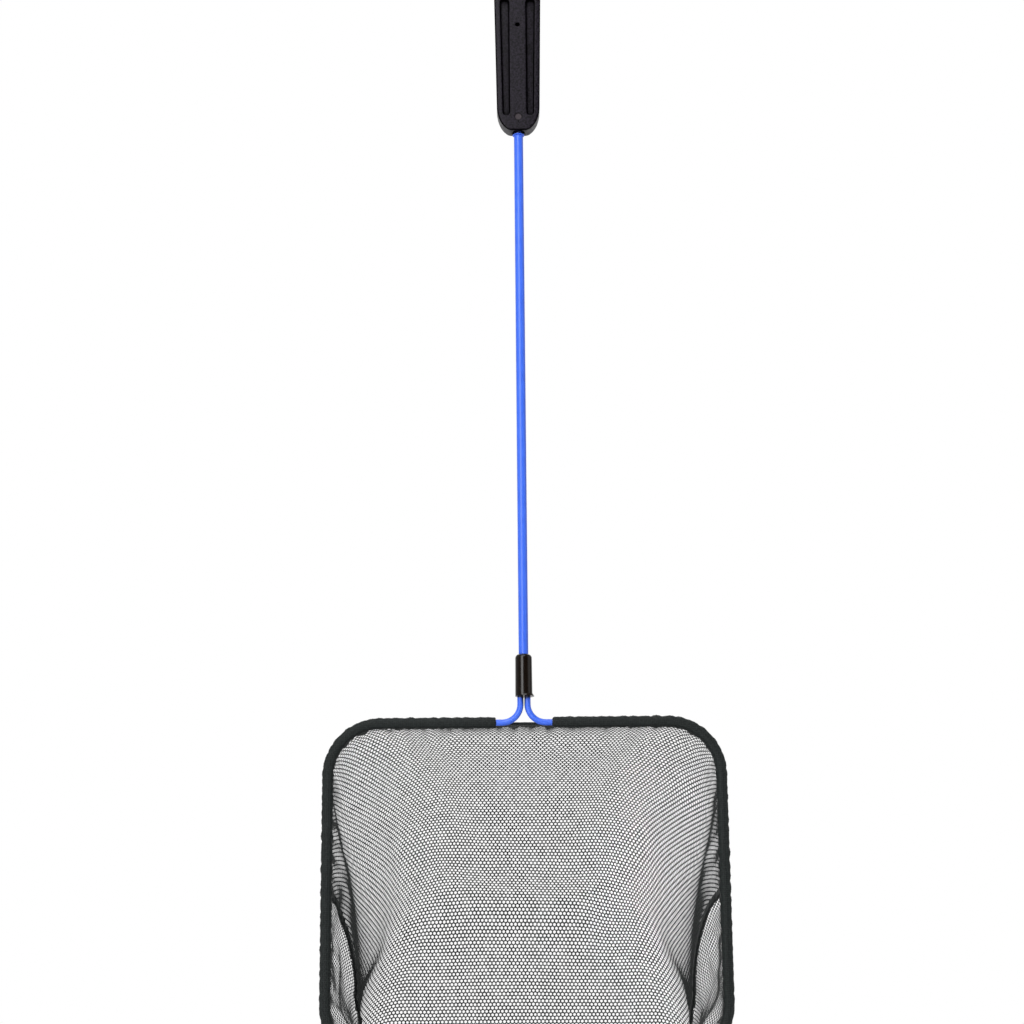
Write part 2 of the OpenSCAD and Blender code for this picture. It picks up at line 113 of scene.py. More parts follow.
grip_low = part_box("grip")[0]
print("grip's lower end shows at", picture_place((0, grip_low.y, grip_low.z)))
for end, corner in zip(("foot", "top"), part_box("collar")):
    print("collar's", end, "shows at", picture_place((0, 0, corner.z)))

# %% [markdown]
# ## Chains of nodes
# The backdrop and the finishes are chains of nodes. One helper adds a node and wires it at once, and
# three more do small sums. A value that is 0 or 1 can be read as no and yes: a product then means that
# both hold, and a maximum that either does.

# %% Helpers for nodes
WHITE = (1, 1, 1, 1)


def add_node(holder, kind, wiring=(), **settings):
    """A node in a finish or the world. The wiring pairs its inputs with values or with what feeds them."""
    made = holder.node_tree.nodes.new("ShaderNode" + kind)
    for name, value in settings.items():
        setattr(made, name, value)
    for label, value in wiring:
        if isinstance(value, bpy.types.NodeSocket):
            holder.node_tree.links.new(value, made.inputs[label])
        else:
            made.inputs[label].default_value = value
    return made


def product(holder, first, second):
    """Two values multiplied."""
    return add_node(holder, "Math", [(0, first), (1, second)], operation="MULTIPLY").outputs[0]


def larger(holder, first, second):
    """The larger of two values."""
    return add_node(holder, "Math", [(0, first), (1, second)], operation="MAXIMUM").outputs[0]


def ranged(holder, value, first, last, low=0.0, high=1.0, **settings):
    """A value that runs from first to last, turned into one that runs from low to high."""
    return add_node(holder, "MapRange", [("Value", value), ("From Min", first), ("From Max", last),
                                         ("To Min", low), ("To Max", high)], **settings).outputs[0]

# %% [markdown]
# ## Soft boxes
# A product picture is lit by large soft boxes, because small lamps give hard shadows and thin glints.
# The main one is tall and stands to the left of the camera: its reflection is the bright streak down the
# rod. One hangs high above, so that the grip throws a shadow on the rod. A weaker one fills the right
# side, and one behind lifts the edges. Each has its place, width, height and power, and is turned to the
# middle of the net.

# %% Hang the soft boxes
SOFTBOXES = {"main_softbox": ((-0.45, -1.15, 0.15), 0.6, 1.4, 13),
             "high_softbox": ((-0.1, -0.7, 1.0), 1.0, 0.8, 8),
             "fill_softbox": ((1.2, -0.2, 0.1), 0.9, 1.3, 2.5),
             "back_softbox": ((0.2, 1.1, 0.9), 1.2, 0.8, 4)}

scene.view_settings.view_transform = "Standard"
net_middle = Vector((0, 0, (cad_box[0].z + cad_box[1].z) / 2))
for name, (place, width, height, power) in SOFTBOXES.items():
    lamp = bpy.data.lights.new(name, "AREA")
    lamp.shape = "RECTANGLE"
    lamp.size = width
    lamp.size_y = height
    lamp.energy = power
    softbox = in_scene(name, lamp)
    softbox.location = place
    softbox.rotation_euler = (net_middle - Vector(place)).to_track_quat("-Z", "Y").to_euler()
print("lamps:", list(SOFTBOXES))

# %% [markdown]
# ## The backdrop
# The world adds a soft light from everywhere, dimmer from behind the camera, where a studio is dark, and
# from the right, away from the main light. What the camera sees behind the net is plain white. A real
# white wall would also throw its light on the net. Here the world asks the light path what kind of ray
# arrives, and shows white only to the camera, to see-through surfaces, and to reflections that point at
# the backdrop. The pairs below are parts of a direction, which runs from -1 to 1 along each axis.

# %% Backdrop
FRONT_AMBIENT = 0.03
BACK_AMBIENT = 0.35
RIGHT_SHARE = 0.3
FRONT_TO_BACK = (-0.85, 0)
MIDDLE_TO_RIGHT = (0.1, 0.8)
BACKDROP_EDGE = (0.4, 0.95)

world = bpy.data.worlds.new("backdrop")
scene.world = world
world.use_nodes = True
world.node_tree.nodes.clear()

heading = add_node(world, "SeparateXYZ", [(0, add_node(world, "TexCoord").outputs["Generated"])]).outputs
ambient = product(world, ranged(world, heading["Y"], *FRONT_TO_BACK, FRONT_AMBIENT, BACK_AMBIENT),
                  ranged(world, heading["X"], *MIDDLE_TO_RIGHT, 1, RIGHT_SHARE))
ray = add_node(world, "LightPath").outputs
straight = larger(world, ray["Is Camera Ray"], ray["Is Transmission Ray"])
mirrored = product(world, ray["Is Glossy Ray"], ranged(world, heading["Y"], *BACKDROP_EDGE))
light = add_node(world, "Background", [("Color", WHITE), ("Strength", ambient)])
white = add_node(world, "Background", [("Color", WHITE), ("Strength", 1)])
either = add_node(world, "MixShader", [("Fac", larger(world, mirrored, straight)),
                                       (1, light.outputs[0]), (2, white.outputs[0])])
add_node(world, "OutputWorld", [("Surface", either.outputs[0])])
print("ambient light from", FRONT_AMBIENT * RIGHT_SHARE, "to", BACK_AMBIENT)

# %% [markdown]
# ## Finishes
# Every finish starts from Blender's Principled shader. A value that is the same all over a surface is
# typed into the shader's own socket, where an exported model finds it too. Only what changes from place
# to place, such as mottling or weave, comes from texture nodes.

# %% Helpers for finishes
def new_finish(name, colour, roughness, **even_values):
    """A material whose even values are set on the shader's own sockets."""
    finish = bpy.data.materials.new(name)
    finish.use_nodes = True
    sockets = finish.node_tree.nodes["Principled BSDF"].inputs
    sockets["Base Color"].default_value = (*colour, 1)
    sockets["Roughness"].default_value = roughness
    for label, value in even_values.items():
        sockets[label.replace("_", " ")].default_value = value
    return finish


def feed(finish, label, value):
    """Connects a pattern to a socket of the shader."""
    shader = finish.node_tree.nodes["Principled BSDF"]
    finish.node_tree.links.new(value, shader.inputs[label])


def in_place(finish):
    """The place of a surface point in the net's own frame."""
    return add_node(finish, "TexCoord").outputs["Object"]


def dress(names, finish):
    """Gives solids their finish and the slot it belongs to."""
    for name in names:
        solid = solids[name]
        solid.data.materials.clear()
        solid.data.materials.append(finish)
        solid.data.polygons.foreach_set("material_index", [0] * len(solid.data.polygons))
    print(finish.name, "on", names)

# %% [markdown]
# ## The floor
# The net hangs a little above a pale floor, which catches its shadow. Near the net the floor is matt.
# Farther out it turns by degrees into the white of the backdrop, so that no edge shows.

# %% Floor
FLOOR_DROP = 25 * MM
FLOOR_RADIUS = 2.2
FLOOR_SIDES = 96
SHADOW_RADIUS = 0.2
WHITE_RADIUS = 0.85

floor_mesh = bpy.data.meshes.new("floor")
rim = [(FLOOR_RADIUS * math.cos(turn), FLOOR_RADIUS * math.sin(turn), 0)
       for turn in np.linspace(0, 2 * math.pi, FLOOR_SIDES, endpoint=False)]
floor_mesh.from_pydata(rim, [], [list(range(FLOOR_SIDES))])
floor = in_scene("floor", floor_mesh)
floor.location = (0, 0, cad_box[0].z - FLOOR_DROP)

pale = new_finish("pale_floor", (0.9, 0.9, 0.9), roughness=0.9, Specular_IOR_Level=0.1)
away = add_node(pale, "VectorMath", [(0, in_place(pale))], operation="LENGTH").outputs["Value"]
fading = ranged(pale, away, SHADOW_RADIUS, WHITE_RADIUS, interpolation_type="SMOOTHSTEP")
ray = add_node(pale, "LightPath").outputs
faded = product(pale, fading, larger(pale, ray["Is Camera Ray"], ray["Is Glossy Ray"]))
glow = add_node(pale, "Emission", [("Color", WHITE), ("Strength", 1)])
matt = pale.node_tree.nodes["Principled BSDF"]
blend = add_node(pale, "MixShader", [("Fac", faded), (1, matt.outputs[0]), (2, glow.outputs[0])])
pale.node_tree.links.new(blend.outputs[0], pale.node_tree.nodes["Material Output"].inputs["Surface"])
floor_mesh.materials.append(pale)
print("floor at", round(floor.location.z, 3))

# %% [markdown]
# ## Patterns and relief
# A noise pattern hardly leaves its middle values, so these are stretched before they set a colour or a
# roughness. Fine relief could be real geometry, which would take millions of faces. A bump node only
# tilts the surface for the light, which is enough for a grain.

# %% Helpers for patterns
NOISE_MIDDLE = (0.3, 0.7)


def noise(finish, place, grain, detail=2, roughness=0.5):
    """A noise pattern whose blobs are about one grain across."""
    return add_node(finish, "TexNoise", [("Vector", place), ("Scale", 1 / grain), ("Detail", detail),
                                         ("Roughness", roughness)]).outputs["Fac"]


def between(finish, pattern, low, high):
    """The middle values of a pattern turned into a value from low to high."""
    return ranged(finish, pattern, *NOISE_MIDDLE, low, high)


def colour_between(finish, pattern, low, high):
    """The middle values of a pattern turned into a colour between two others."""
    ramp = add_node(finish, "ValToRGB", [("Fac", pattern)])
    for stop, place, colour in zip(ramp.color_ramp.elements, NOISE_MIDDLE, (low, high)):
        stop.position = place
        stop.color = (*colour, 1)
    return ramp.outputs["Color"]


def mixed(finish, amount, first, second):
    """One colour where the amount is 0, and the other where it is 1."""
    wiring = [("Fac", amount)]
    for label, colour in (("Color1", first), ("Color2", second)):
        wiring.append((label, colour if isinstance(colour, bpy.types.NodeSocket) else (*colour, 1)))
    return add_node(finish, "MixRGB", wiring).outputs["Color"]


def bump(finish, height, depth, strength=1.0, normal=None):
    """A pattern turned into a bumpy surface. A bump can sit on top of another."""
    wiring = [("Height", height), ("Distance", depth), ("Strength", strength)]
    if normal is not None:
        wiring.append(("Normal", normal))
    return add_node(finish, "Bump", wiring).outputs["Normal"]


def rounded_edges(finish, radius):
    """A surface whose sharp edges look rounded."""
    return add_node(finish, "Bevel", [("Radius", radius)], samples=6).outputs["Normal"]

# %% [markdown]
# ## The grip's plastic
# The grip is moulded from black plastic in a tool with a spark-eroded surface, which leaves a fine, even
# grain and a dull shine. The grain is a fine noise used as a bump. A second noise, with blobs of about a
# millimetre, mottles the colour and the shine together, as skin oil does. Moulded edges are never razor
# sharp. They could be rounded in the mesh, but the solid stays as CAD made it, so a bevel node rounds
# them for the light. Plastic shrinks as it sets, so the broad faces fall off towards their sides: a
# shallow bump follows the fourth power of the distance from the middle.

# %% Grain, mottling and crown
GRIP_HALF_WIDTH = 9 * MM
CROWN_DROP = 0.4 * MM
MOTTLE_EDGES = (0.38, 0.62)
DARK_PLASTIC = (0.0003, 0.0001, 0.0010)
PALE_PLASTIC = (0.0175, 0.0135, 0.0225)
GRIP_ROUGHNESS = (0.36, 0.56)

plastic = new_finish("grip_plastic", (0.009, 0.008, 0.011), roughness=0.45)
spot = in_place(plastic)
axes = add_node(plastic, "SeparateXYZ", [(0, spot)]).outputs
blobs = noise(plastic, spot, grain=0.9 * MM, detail=3, roughness=0.7)
mottle = ranged(plastic, blobs, *MOTTLE_EDGES)
mottled = mixed(plastic, mottle, DARK_PLASTIC, PALE_PLASTIC)
feed(plastic, "Roughness", ranged(plastic, mottle, 0, 1, *GRIP_ROUGHNESS))

squared = product(plastic, axes["X"], axes["X"])
crown = ranged(plastic, product(plastic, squared, squared), 0, GRIP_HALF_WIDTH ** 4, 0, -CROWN_DROP)
crowned = bump(plastic, crown, depth=1, normal=rounded_edges(plastic, radius=0.9 * MM))
grain = noise(plastic, spot, grain=0.22 * MM, detail=1)
feed(plastic, "Normal", bump(plastic, grain, depth=0.02 * MM, strength=0.5, normal=crowned))
print("grip's plastic so far:", len(plastic.node_tree.nodes), "nodes")

# %% [markdown]
# ## Marks, edges and recesses of the grip
# An ejector pin left a round, slightly paler mark, and under it the mould left a short dark witness
# line. The rounded edges and the groove walls face sideways, away from the light, and look almost black:
# this is painted shade, which darkens their colour and their shine. Grooves and the pin hole get little
# light, and painted shade darkens them too. All this could be painted on an unwrapped copy by hand. Here
# the surface itself says where it belongs, which needs no picture: the marks have their places, the edges
# face neither as the faces do nor as the sides do, and an ambient occlusion node finds the recesses. The
# sides shine more than the faces.

# %% Marks, edges and recesses
FRONT_SKIN = 0.35 * MM
PIN_MARK_RISE = 5.8 * MM
PIN_MARK_RADIUS = 1.4 * MM
PIN_MARK_COLOUR = (0.050, 0.041, 0.047)
WITNESS_RISE = 3.7 * MM
WITNESS_HALF_WIDTH = 0.12 * MM
WITNESS_HALF_LENGTH = 0.5 * MM
DARK_SHARE = 0.1
# near-black colour of the painted shade, also used for the witness line
SHADE_AND_WITNESS_COLOUR = (0.001, 0.001, 0.001)
SIDE_TO_EDGE = (0.06, 0.2)
FACE_TO_EDGE = (0.97, 0.85)
SIDE_SHINE = 0.5
FACE_SHINE = 0.145


def within(finish, value, middle, half):
    """1 where a value is nearer than half to a middle, and 0 elsewhere."""
    return add_node(finish, "Math", [(0, value), (1, middle), (2, half)], operation="COMPARE").outputs[0]


def recess_shade(finish, reach, dark_at, light_at):
    """0 deep in a recess and 1 out in the open. Nothing farther than the reach counts."""
    hidden = add_node(finish, "AmbientOcclusion", [("Distance", reach)], samples=8)
    return ranged(finish, hidden.outputs["AO"], dark_at, light_at)


pin_place = (0, grip_low.y, grip_low.z + PIN_MARK_RISE)
from_pin = add_node(plastic, "VectorMath", [(0, spot), (1, pin_place)], operation="DISTANCE")
pin_mark = within(plastic, from_pin.outputs["Value"], 0, PIN_MARK_RADIUS)
colour = mixed(plastic, pin_mark, mottled, PIN_MARK_COLOUR)

witness = within(plastic, axes["Y"], grip_low.y, FRONT_SKIN)
for axis, middle, half in (("X", 0, WITNESS_HALF_WIDTH),
                           ("Z", grip_low.z + WITNESS_RISE, WITNESS_HALF_LENGTH)):
    witness = product(plastic, witness, within(plastic, axes[axis], middle, half))

normal = add_node(plastic, "SeparateXYZ", [(0, add_node(plastic, "NewGeometry").outputs["Normal"])])
squareness = add_node(plastic, "Math", [(0, normal.outputs["Y"])], operation="ABSOLUTE").outputs[0]
# painted shade on the rounded edges and groove walls, found by the way they face
painted_edge_shade = product(plastic, ranged(plastic, squareness, *SIDE_TO_EDGE),
                  ranged(plastic, squareness, *FACE_TO_EDGE))
# painted shade in the grooves and the pin hole, from an ambient occlusion node; the witness line is
# darkened the same way
lightness = recess_shade(plastic, reach=2.5 * MM, dark_at=0.45, light_at=0.95)
for dark_place in (painted_edge_shade, witness):
    lightness = product(plastic, lightness, ranged(plastic, dark_place, 0, 1, 1, DARK_SHARE))
feed(plastic, "Base Color", mixed(plastic, lightness, SHADE_AND_WITNESS_COLOUR, colour))
shine = ranged(plastic, squareness, 0, SIDE_TO_EDGE[0], SIDE_SHINE, FACE_SHINE)
# the painted shade also dims the shine
feed(plastic, "Specular IOR Level", product(plastic, lightness, shine))
dress(["grip"], plastic)

# %% [markdown]
# ## The blue coating
# The rod and the wire loop are steel in a sleeve of blue vinyl. Extruded vinyl is softly glossy, with
# faint streaks along its length. A wave pattern would repeat itself, so the streaks are a noise, drawn
# out by squeezing its height. Close to the grip, the collar and the hem the coating lies in their shade.

# %% Blue coating
def drawn_out(finish, place, squeeze):
    """Places with their height squeezed, so that a pattern made from them is drawn out along the rod."""
    return add_node(finish, "Mapping", [("Vector", place), ("Scale", (1, 1, squeeze))]).outputs[0]


SHADED_BLUE = (0.001, 0.001, 0.012)

vinyl = new_finish("blue_coating", (0.051, 0.158, 0.86), roughness=0.34)
spot = in_place(vinyl)
streaks = noise(vinyl, drawn_out(vinyl, spot, squeeze=0.04), grain=0.5 * MM)
patches = noise(vinyl, spot, grain=6 * MM, detail=3)
blue = colour_between(vinyl, patches, (0.046, 0.146, 0.83), (0.056, 0.170, 0.90))
# painted shade: close to the grip, the collar and the hem the coating's colour turns to near-black blue
open_air = recess_shade(vinyl, reach=4 * MM, dark_at=0.63, light_at=0.75)
feed(vinyl, "Base Color", mixed(vinyl, open_air, SHADED_BLUE, blue))
feed(vinyl, "Roughness", between(vinyl, patches, low=0.30, high=0.38))
feed(vinyl, "Normal", bump(vinyl, streaks, depth=0.03 * MM, strength=0.3))
dress(["rod_coating", "frame_coating"], vinyl)

# %% [markdown]
# ## Steel
# The steel only shows at cut ends, but someone may take the model apart. Wire is drawn through a die,
# which leaves fine lines along it.

# %% Steel
steel = new_finish("drawn_steel", (0.55, 0.56, 0.58), roughness=0.3, Metallic=1)
lines = noise(steel, drawn_out(steel, in_place(steel), squeeze=0.03), grain=0.12 * MM)
feed(steel, "Roughness", between(steel, lines, low=0.22, high=0.38))
feed(steel, "Normal", bump(steel, lines, depth=0.01 * MM, strength=0.4))
dress(["rod_core", "frame_core"], steel)

# %% [markdown]
# ## The collar's plastic
# The collar is moulded over the joint in a harder plastic, black with a touch of brown. It is glossy
# enough to mirror the main soft box as a narrow streak. Slow flow marks vary its colour and shine a
# little, as they do where plastic runs round a joint.

# %% Collar plastic
glossy = new_finish("collar_black", (0.006, 0.0032, 0.0016), roughness=0.22, Specular_IOR_Level=0.4)
flow = noise(glossy, in_place(glossy), grain=2.5 * MM, detail=3)
browned = colour_between(glossy, flow, (0.0045, 0.0020, 0.0008), (0.0080, 0.0045, 0.0024))
feed(glossy, "Base Color", browned)
feed(glossy, "Roughness", between(glossy, flow, low=0.19, high=0.25))
rounded = rounded_edges(glossy, radius=0.3 * MM)
feed(glossy, "Normal", bump(glossy, flow, depth=0.02 * MM, strength=0.3, normal=rounded))
dress(["collar"], glossy)

# %% [markdown]
# ## Side profiles of the bag
# The bag is cut from two panels: one hangs from the top bar of the loop, the other from the bottom bar.
# Seen from the side, each follows a smooth curve from the loop to the fold. The curves could be drawn by
# hand, but these are those of the CAD model, so the cloth fills the room its solid holds. Their control
# points are shares of the bag's reach and of the height between bar and fold.

# %% Side profiles
WIRE_RADIUS = 1.2 * MM
LOOP_RISE = 124.6 * MM
LOOP_CORNER = 20 * MM
BAG_MOUTH = 12.3 * MM
BAG_REACH = 84 * MM
BAG_DROP = 16 * MM
BAG_END_HEIGHT = 5.2 * MM
FOLD_SLOPE = math.radians(38)
UPPER_SHARES = ((0, 0), (0.55, 0), (1.16, 0.36))
LOWER_SHARES = ((0, 0), (0.3, 0.9), (0.7, 1.4))

loop_low, loop_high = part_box("frame_coating")
loop_half_width = loop_high.x - WIRE_RADIUS
bar_foot = loop_low.z + WIRE_RADIUS
bar_top = bar_foot + LOOP_RISE
fold = np.array([BAG_MOUTH + BAG_REACH, bar_foot - BAG_DROP])
fold_along = np.array([math.cos(FOLD_SLOPE), -math.sin(FOLD_SLOPE)])
fold_up = np.array([math.sin(FOLD_SLOPE), math.cos(FOLD_SLOPE)])


def profile(shares, bar_height, side):
    """Control points of one side curve, as (y, z), from the loop to the fold."""
    points = [(BAG_MOUTH + across * BAG_REACH, bar_height + down * (fold[1] - bar_height))
              for across, down in shares]
    return np.array([*points, fold + side * fold_up * BAG_END_HEIGHT / 2])


def along_curve(points, share):
    """Points of a cubic curve at shares of its run."""
    t = np.asarray(share, float)[..., None]
    first, second, third, last = points
    return ((1 - t) ** 3 * first + 3 * t * (1 - t) ** 2 * second
            + 3 * t * t * (1 - t) * third + t ** 3 * last)


profiles = {1: profile(UPPER_SHARES, bar_top, 1), -1: profile(LOWER_SHARES, bar_foot, -1)}
print("fold at y, z in mm:", np.round(fold / MM, 1))

# %% [markdown]
# ## Sections of the bag
# Between the two curves lies a stack of sections, each a rounded rectangle that gets rounder, lower and
# narrower towards the fold, where its sides also curve in. The bag could be sculpted, but with a formula
# for its surface, netting, tapes and stitches can all be laid on it exactly. A section is asked for by
# its share of the bag's depth, 0 at the hem and 1 at the fold. A point on a panel needs one more number:
# how far from the panel's middle it lies, along the cloth. The cloth runs flat, turns round the
# section's corner and goes straight on to the side seam.

# %% Bag sections
NARROWING_SHARE = 0.07
ROUND_END_SHARE = 0.82
ROUND_END_DEPTH = 12 * MM
FULLY_ROUND_SHARE = 0.8
END_FLAT = 1.8 * MM


def bag_section(depth):
    """Middle, upward direction, half width, half height and corner radius at shares of the depth."""
    depth = np.asarray(depth, float)
    upper, lower = along_curve(profiles[1], depth), along_curve(profiles[-1], depth)
    height = np.linalg.norm(upper - lower, axis=-1)
    up = (upper - lower) / height[..., None]
    past = np.clip((depth - ROUND_END_SHARE) / (1 - ROUND_END_SHARE), 0, 1)
    curved_in = ROUND_END_DEPTH * (1 - np.sqrt(1 - past ** 2))
    half_width = loop_half_width * (1 - NARROWING_SHARE * depth) - curved_in
    rounding = np.sin(math.pi / 2 * np.clip(depth / FULLY_ROUND_SHARE, 0, 1))
    corner = LOOP_CORNER * (1 - rounding) + (height / 2 - END_FLAT) * rounding
    return (upper + lower) / 2, up, half_width, height / 2, corner


def half_girth(depth):
    """Cloth length from the middle of a panel to its side seam."""
    _, _, half_width, half_height, corner = bag_section(depth)
    return half_width + half_height + corner * (math.pi / 2 - 2)


def with_x(x, side_view):
    """Points from their x and their place in the side view, (y, z)."""
    return np.concatenate([x[..., None], side_view], axis=-1)


def bag_point(side, across, depth):
    """Place and outward direction on the upper panel, side 1, or the lower one, side -1."""
    middle, up, half_width, half_height, corner = bag_section(depth)
    reach = np.minimum(np.abs(across), half_girth(depth))
    flat = half_width - corner
    turn = np.clip((reach - flat) / corner, 0, math.pi / 2)
    straight_down = np.maximum(reach - flat - corner * math.pi / 2, 0)
    x = np.minimum(reach, flat) + corner * np.sin(turn)
    rise = half_height - corner + corner * np.cos(turn) - straight_down
    hand = np.sign(across)
    return (with_x(hand * x, middle + up * (side * rise)[..., None]),
            with_x(hand * np.sin(turn), up * (side * np.cos(turn))[..., None]))


print("half girth at the mouth and at the fold, mm:", np.round(half_girth([0, 1]) / MM, 1))

# %% [markdown]
# ## Gathers
# Sewing gathers the netting: a little more cloth than edge goes under the needle, so it puckers close to
# the hem and lies smooth farther in. A simulation would need a very fine mesh for that. A pucker is a
# wave along the seam whose spacing and height keep changing, and the sum of a few sine waves with fixed
# random phases gives just that, the same each time the script runs. The hem shares the netting's large
# gathers and small puckers.

# %% Gather waves
WAVE_STRENGTH = 1.6
PITCH_SPREAD = (0.7, 1.5)
GATHER_HEIGHT = 0.55 * MM
PUCKER_HEIGHT = 0.3 * MM


def wavering(seed, wavelength, terms=5):
    """A wave along a seam, between about -1 and 1, whose spacing varies round a wavelength."""
    dice = np.random.default_rng(seed)
    pitches = wavelength * dice.uniform(*PITCH_SPREAD, terms)
    phases = dice.uniform(0, 2 * math.pi, terms)

    def wave(distance):
        waves = [np.sin(2 * math.pi * distance / pitch + phase) for pitch, phase in zip(pitches, phases)]
        return sum(waves) / terms * WAVE_STRENGTH
    return wave


hem_gather = wavering(seed=3, wavelength=9 * MM)
hem_pucker = wavering(seed=4, wavelength=4.2 * MM)
highest = max(hem_gather(np.arange(0, 500 * MM, MM)))
print("the large gathers rise to, in mm:", round(float(highest * GATHER_HEIGHT) / MM, 2))

# %% [markdown]
# ## Round the loop
# A place on the hem starts with a distance along the loop, clockwise from the top middle. Only one
# quarter of the loop is worked out. The other three are its mirror images.

# %% The loop's line
side_straight = LOOP_RISE - 2 * LOOP_CORNER
bar_straight = 2 * (loop_half_width - LOOP_CORNER)
loop_length = 2 * (side_straight + bar_straight) + 2 * math.pi * LOOP_CORNER


def loop_place(distance):
    """Point and outward direction on the loop's centre line, as (x, z)."""
    distance = np.asarray(distance, float) % loop_length
    quarter = LOOP_CORNER * math.pi / 2
    half_side, half_bar = side_straight / 2, bar_straight / 2
    side = np.where(distance <= loop_length / 2, 1, -1)
    run = np.where(side > 0, distance, loop_length - distance)
    lower = np.where(run > loop_length / 4, -1, 1)
    near = np.where(lower > 0, run, loop_length / 2 - run)
    turn = np.clip((near - half_bar) / LOOP_CORNER, 0, math.pi / 2)
    x = np.minimum(near, half_bar) + LOOP_CORNER * np.sin(turn)
    rise = half_side + LOOP_CORNER * np.cos(turn) - np.maximum(near - half_bar - quarter, 0)
    middle = (bar_top + bar_foot) / 2
    return (np.stack([side * x, middle + lower * rise], -1),
            np.stack([side * np.sin(turn), lower * np.cos(turn)], -1))


print("loop length in mm:", round(loop_length / MM, 1))

# %% [markdown]
# ## How the bag hangs
# A stiff new bag keeps its sewn shape, but the netting is slack: it sags under its own weight and
# buckles into soft folds. They could be sculpted, but a cloth simulation finds them as the real bag
# does. The bag becomes a coarse tube of cloth, held at the hem and at the fold, a few per cent larger
# than its shape, under a gentle gravity.

# %% Cloth simulation
SLACK = 0.05
SETTLING_FRAMES = 24
HELD_ROWS = 5
LEAST_HOLD = 0.06
GRAVITY_SHARE = 0.25
CLOTH_SETTINGS = {"quality": 6, "mass": 0.02, "tension_stiffness": 6, "compression_stiffness": 6,
                  "shear_stiffness": 2, "bending_stiffness": 0.08, "vertex_group_mass": "hold",
                  "pin_stiffness": 0.6, "shrink_min": -SLACK}


def tube_faces(numbers):
    """Quads between rings of numbered points, one ring to a row."""
    beside = np.roll(numbers, -1, axis=1)
    return np.stack([numbers[:-1], beside[:-1], beside[1:], numbers[1:]], -1).reshape(-1, 4)


def settled_tube(tube):
    """The tube after a short cloth simulation."""
    rows, columns = tube.shape[:2]
    numbers = np.arange(rows * columns).reshape(rows, columns)
    mesh = bpy.data.meshes.new("slack_bag")
    mesh.from_pydata(tube.reshape(-1, 3).tolist(), [], tube_faces(numbers).tolist())
    bag = in_scene("slack_bag", mesh)
    hold = bag.vertex_groups.new(name="hold")
    for row in range(rows):
        from_edge = min(row, rows - 1 - row) / HELD_ROWS
        hold.add(numbers[row].tolist(), max(LEAST_HOLD, 1 - from_edge), "REPLACE")
    cloth = bag.modifiers.new("cloth", "CLOTH")
    for name, value in CLOTH_SETTINGS.items():
        setattr(cloth.settings, name, value)
    cloth.settings.effector_weights.gravity = GRAVITY_SHARE
    cloth.collision_settings.use_collision = False
    cloth.point_cache.frame_end = SETTLING_FRAMES
    for step in range(1, SETTLING_FRAMES + 1):
        scene.frame_set(step)
    settled = bag.evaluated_get(bpy.context.evaluated_depsgraph_get()).to_mesh()
    points = np.empty(len(settled.vertices) * 3)
    settled.vertices.foreach_get("co", points)
    scene.frame_set(1)
    bpy.data.objects.remove(bag)
    return points.reshape(tube.shape)

# %% [markdown]
# ## A map of small shifts
# To let every thread settle by itself would take far too long. Instead the difference between the
# settled tube and the plain one is held to a limit, softened, and kept as a map of small shifts. The
# fine netting, the tapes and their stitches all read this one map, so they stay together.

# %% Let the bag settle
GRID_ACROSS = 56
GRID_DEEP = 40
SHIFT_LIMIT = 4.5 * MM
LEAST_SHIFT = 1e-9
SOFTENING_PASSES = 2


def resting_grid(side):
    """The plain shape of one panel as a grid of points, from the hem to the fold."""
    depth = np.repeat(np.linspace(0, 1, GRID_DEEP + 1)[:, None], GRID_ACROSS + 1, axis=1)
    return bag_point(side, np.linspace(-1, 1, GRID_ACROSS + 1) * half_girth(depth), depth)[0]


def softened(field):
    """A field of shifts evened out between neighbours, with its held edges kept."""
    for _ in range(SOFTENING_PASSES):
        inner = (field[2:] + field[:-2] + 2 * field[1:-1]) / 4
        field = np.concatenate([field[:1], inner, field[-1:]])
        field = (np.roll(field, 1, axis=1) + np.roll(field, -1, axis=1) + 2 * field) / 4
    return field


plain_tube = np.concatenate([resting_grid(1), resting_grid(-1)[:, -2:0:-1]], axis=1)
tube_shift = np.zeros_like(plain_tube)
tube_shift = settled_tube(plain_tube) - plain_tube
length = np.linalg.norm(tube_shift, axis=-1, keepdims=True) + LEAST_SHIFT
tube_shift = softened(tube_shift / length * SHIFT_LIMIT * np.tanh(length / SHIFT_LIMIT))
shifts = {1: tube_shift[:, :GRID_ACROSS + 1],
          -1: np.concatenate([tube_shift[:, :1], tube_shift[:, :GRID_ACROSS - 1:-1]], axis=1)}
print("largest shift in mm:", round(float(np.linalg.norm(tube_shift, axis=-1).max()) / MM, 2))

# %% [markdown]
# ## Points of the hanging bag
# Between the grid's points the map is read as a mixture of the nearest four. Gathers and puckers are
# added, and fade with the distance from the hem.

# %% Points of the hanging bag
GATHER_FADE = 14 * MM
PUCKER_FADE = 5 * MM
GRID_MARGIN = 1e-6


def shift_at(side, share, depth):
    """The settled cloth's shift at places between the grid's points."""
    column = np.clip((share + 1) / 2 * GRID_ACROSS, 0, GRID_ACROSS - GRID_MARGIN)
    row = np.clip(depth * GRID_DEEP, 0, GRID_DEEP - GRID_MARGIN)
    i, j = column.astype(int), row.astype(int)
    a, b = (column - i)[..., None], (row - j)[..., None]
    field = shifts[side]
    return ((1 - a) * (1 - b) * field[j, i] + a * (1 - b) * field[j, i + 1]
            + (1 - a) * b * field[j + 1, i] + a * b * field[j + 1, i + 1])


